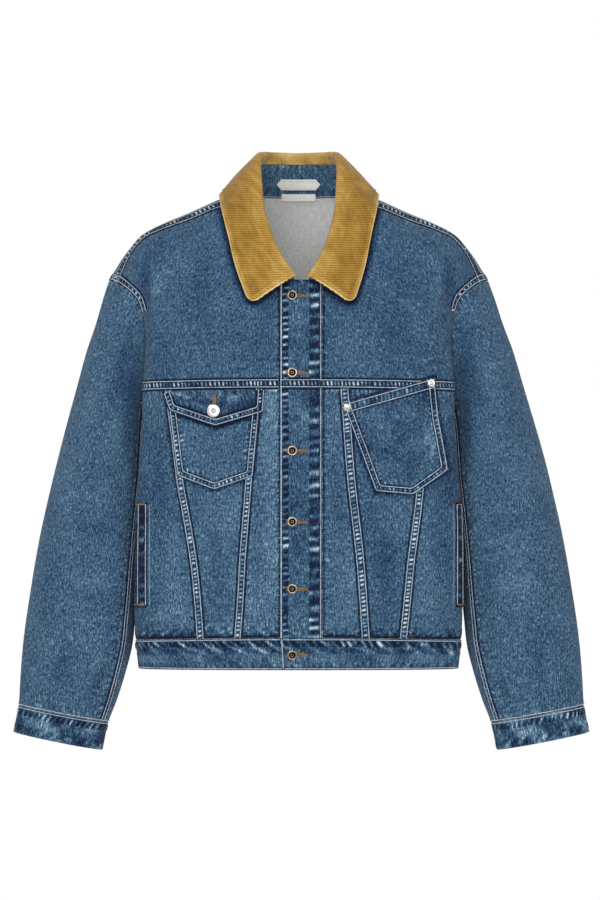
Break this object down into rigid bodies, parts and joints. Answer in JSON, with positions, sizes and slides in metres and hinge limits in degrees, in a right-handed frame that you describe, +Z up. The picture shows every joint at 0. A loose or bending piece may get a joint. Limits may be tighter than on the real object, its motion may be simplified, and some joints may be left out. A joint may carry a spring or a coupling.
{
  "type": "denim jacket",
  "caption": "Filled-out denim trucker jacket with a corduroy collar, yoke, buttoned placket, a flapped and a tilted chest pocket, long sleeves, cuffs and waistband.",
  "frame": {"origin": "in the middle between the shoulders, at the height of the neck's sides, midway between the front and the back of the shoulder tops", "axes": "+Z up, -Y out of the jacket's front, +X toward the wearer's left"},
  "size_m": [0.7645, 0.2395, 0.7985],
  "materials": {
    "denim": "washed twill",
    "corduroy": "ribbed pile",
    "label": "plain woven",
    "button": "worn",
    "bright_metal": "satin"
  },
  "bodies": {
    "root": {"front_side_right": "denim", "front_middle_right": "denim", "front_centre_right": "denim", "front_centre_left": "denim", "front_middle_left": "denim", "front_side_left": "denim", "front_yoke_right": "denim", "front_yoke_left": "denim", "placket_under": "denim", "placket_over": "denim", "back": "denim", "waistband": "denim", "sleeve_under_left": "denim", "sleeve_upper_left": "denim", "cuff_left": "denim", "sleeve_under_right": "denim", "sleeve_upper_right": "denim", "cuff_right": "denim", "collar_stand": "denim", "collar": "corduroy", "chest_pocket": "denim", "chest_flap": "denim", "tilted_pocket": "denim", "welt_left": "denim", "welt_right": "denim", "neck_label": "label", "care_label": "label", "button_1": "button", "button_2": "button", "button_3": "button", "button_4": "button", "button_5": "button", "button_6": "button", "flap_button": "bright_metal", "rivet_1": "bright_metal", "rivet_2": "bright_metal"}
  },
  "joints": []
}
